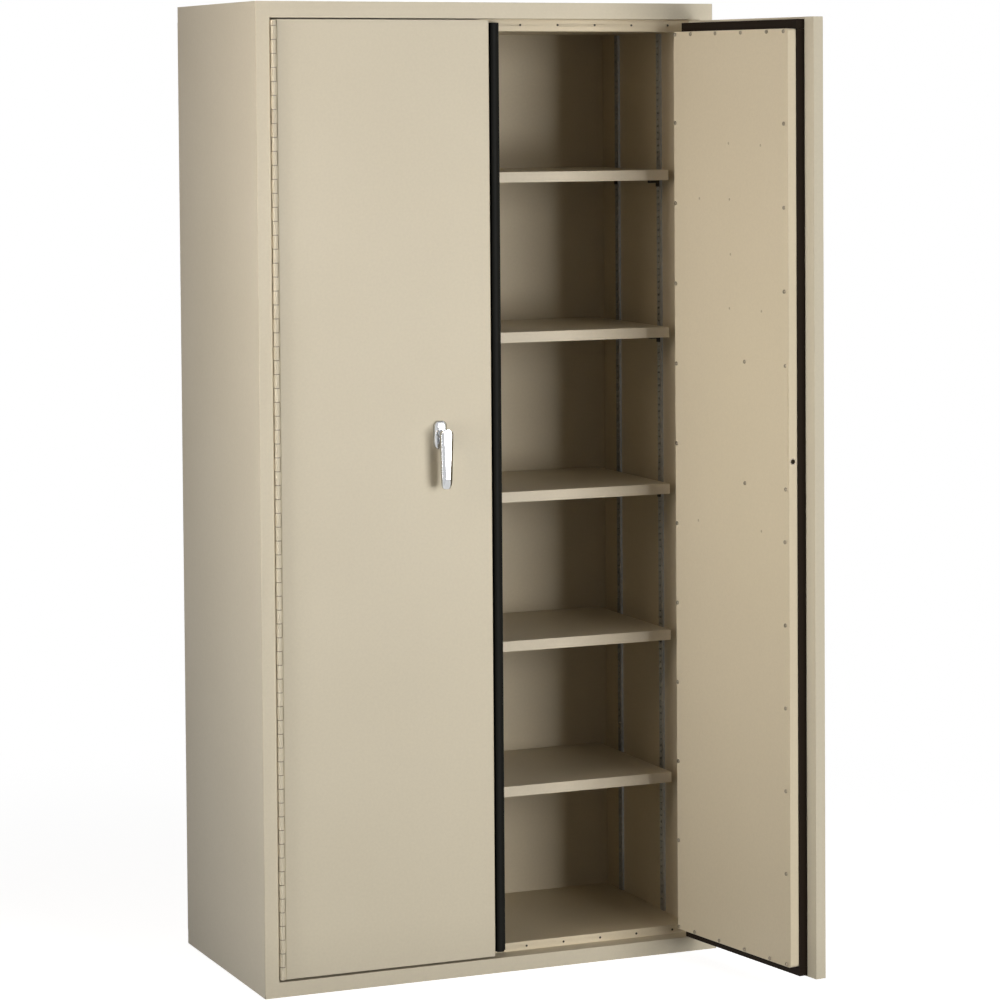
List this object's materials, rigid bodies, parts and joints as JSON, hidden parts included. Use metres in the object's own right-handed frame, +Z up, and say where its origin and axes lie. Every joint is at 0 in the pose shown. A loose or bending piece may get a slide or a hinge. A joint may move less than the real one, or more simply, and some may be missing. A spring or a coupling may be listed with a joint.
{
  "type": "storage cabinet",
  "caption": "Tall insulated steel storage cabinet with two hinged plug doors, a lever lock with three bolts, and adjustable shelves on slotted standards.",
  "frame": {"origin": "middle of the base's footprint, on the floor", "axes": "+Z up, the doors face -Y, +X to the right when facing the doors"},
  "size_m": [0.9401, 0.9121, 1.8288],
  "materials": {
    "body_paint": "satin",
    "inner_paint": "satin",
    "insulation": "matte",
    "zinc_steel": "satin",
    "screw_steel": "satin",
    "black_clips": "satin",
    "chrome_plate": "polished",
    "black_seal": "matte",
    "brown_seal": "matte",
    "guide_plastic": "matte"
  },
  "bodies": {
    "cabinet": {"left_side_panel": "body_paint", "right_side_panel": "body_paint", "head_rail": "body_paint", "top_cap": "body_paint", "base_pan": "body_paint", "back_panel": "body_paint", "left_hinge_frame_leaf": "body_paint", "right_hinge_frame_leaf": "body_paint", "left_stop": "inner_paint", "right_stop": "inner_paint", "head_stop": "inner_paint", "sill_stop": "inner_paint", "left_wall_liner": "inner_paint", "right_wall_liner": "inner_paint", "back_wall_liner": "inner_paint", "ceiling_liner": "inner_paint", "floor_liner": "inner_paint", "shelf_1": "inner_paint", "shelf_2": "inner_paint", "shelf_3": "inner_paint", "shelf_4": "inner_paint", "shelf_5": "inner_paint", "left_wall_insulation": "insulation", "right_wall_insulation": "insulation", "back_wall_insulation": "insulation", "ceiling_insulation": "insulation", "floor_insulation": "insulation", "shelf_standards": "zinc_steel", "hinge_pins": "zinc_steel", "bolt_keepers": "zinc_steel", "stop_screws": "screw_steel", "shelf_clips": "black_clips"},
    "left_door": {"left_door_skin": "body_paint", "left_hinge_door_leaf": "body_paint", "left_door_liner": "inner_paint", "lock_cover": "inner_paint", "left_door_insulation": "insulation", "left_liner_screws": "screw_steel", "left_door_seals": "brown_seal", "centre_seal": "black_seal", "escutcheon": "chrome_plate", "lock_barrel": "chrome_plate", "lock_case": "zinc_steel", "rod_guides": "guide_plastic"},
    "lever": {"lever_handle": "chrome_plate", "spindle": "zinc_steel", "drive_pinion": "zinc_steel"},
    "top_bolt": {"top_bolt": "zinc_steel"},
    "bottom_bolt": {"bottom_bolt": "zinc_steel"},
    "side_bolt": {"side_bolt": "zinc_steel"},
    "key_plug": {"lock_plug": "chrome_plate"},
    "right_door": {"right_door_skin": "body_paint", "right_hinge_door_leaf": "body_paint", "right_door_liner": "inner_paint", "strike_cover": "inner_paint", "right_door_insulation": "insulation", "right_liner_screws": "screw_steel", "right_door_seals": "black_seal", "strike_bush": "zinc_steel"}
  },
  "joints": [
    {"name": "left_door_hinge", "type": "hinge", "parent": "cabinet", "child": "left_door", "pos_m": [-0.424, -0.2475, 0.9], "axis": [0, 0, -1], "range_deg": [0, 180]},
    {"name": "right_door_hinge", "type": "hinge", "parent": "cabinet", "child": "right_door", "pos_m": [0.424, -0.2475, 0.9], "axis": [0, 0, 1], "range_deg": [-98.5, 81.5]},
    {"name": "lever_turn", "type": "hinge", "parent": "left_door", "child": "lever", "pos_m": [-0.107, -0.2675, 1.028], "axis": [0, 1, 0], "range_deg": [0, 90]},
    {"name": "top_bolt_slide", "type": "slide", "parent": "left_door", "child": "top_bolt", "axis": [0, 0, 1], "range_m": [0, 0.02514]},
    {"name": "bottom_bolt_slide", "type": "slide", "parent": "left_door", "child": "bottom_bolt", "axis": [0, 0, -1], "range_m": [0, 0.02514]},
    {"name": "side_bolt_slide", "type": "slide", "parent": "left_door", "child": "side_bolt", "axis": [1, 0, 0], "range_m": [0, 0.02514]},
    {"name": "key_turn", "type": "hinge", "parent": "left_door", "child": "key_plug", "pos_m": [-0.107, -0.2525, 1.009], "axis": [0, 1, 0], "range_deg": [0, 90]}
  ],
  "couplings": [
    {"joint": "top_bolt_slide", "follows": "lever_turn", "m_per_rad": 0.016},
    {"joint": "bottom_bolt_slide", "follows": "lever_turn", "m_per_rad": 0.016},
    {"joint": "side_bolt_slide", "follows": "lever_turn", "m_per_rad": 0.016}
  ]
}
